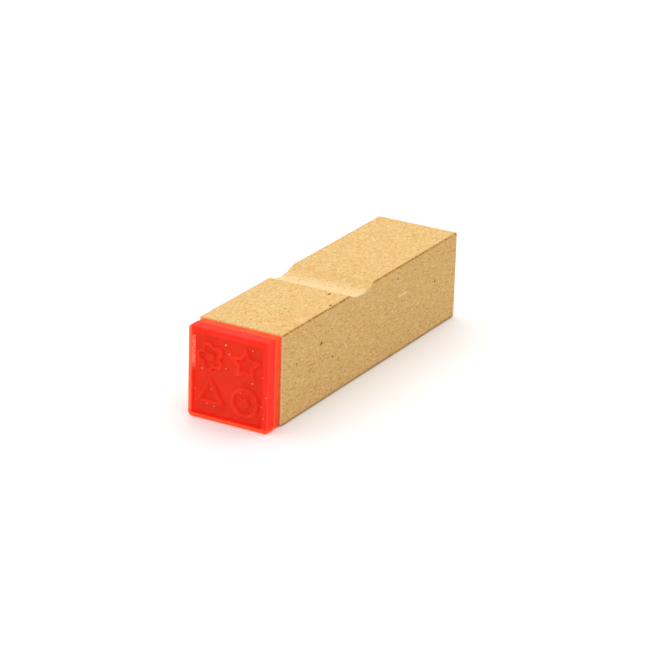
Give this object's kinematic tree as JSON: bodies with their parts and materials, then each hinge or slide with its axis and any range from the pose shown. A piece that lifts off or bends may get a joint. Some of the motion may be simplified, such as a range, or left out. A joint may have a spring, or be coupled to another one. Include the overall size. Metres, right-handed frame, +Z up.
{
  "type": "rubber stamp",
  "caption": "Block-mounted rubber stamp: a square fibreboard stick with a shallow finger groove, a red photopolymer plate on a soft orange cushion, and a paper label on its far end.",
  "frame": {"origin": "middle of the whole stamp's footprint, on the surface that the stamp lies on", "axes": "+Y along the handle, from the printing face to the labelled end; +Z up, through the finger groove; +X to the right when the printing face looks at the viewer"},
  "size_m": [0.015, 0.061, 0.015],
  "materials": {
    "fibreboard": "raw sanded fibreboard, matte, fine fibres and dark flecks",
    "clear_glue": "thin clear adhesive film, dark where it is squeezed between layers",
    "orange_pad": "soft translucent orange elastomer, satin",
    "polyester": "clear polyester film, glossy, red from what it touches",
    "red_resin": "translucent red photopolymer, slightly tacky gloss, tiny bubbles",
    "paper": "uncoated white label paper, matte"
  },
  "bodies": {
    "root": {"handle_block": "fibreboard", "block_tape": "clear_glue", "cushion_pad": "orange_pad", "plate_tape": "clear_glue", "carrier_film": "polyester", "stamp_plate": "red_resin", "back_label": "paper"}
  },
  "joints": []
}
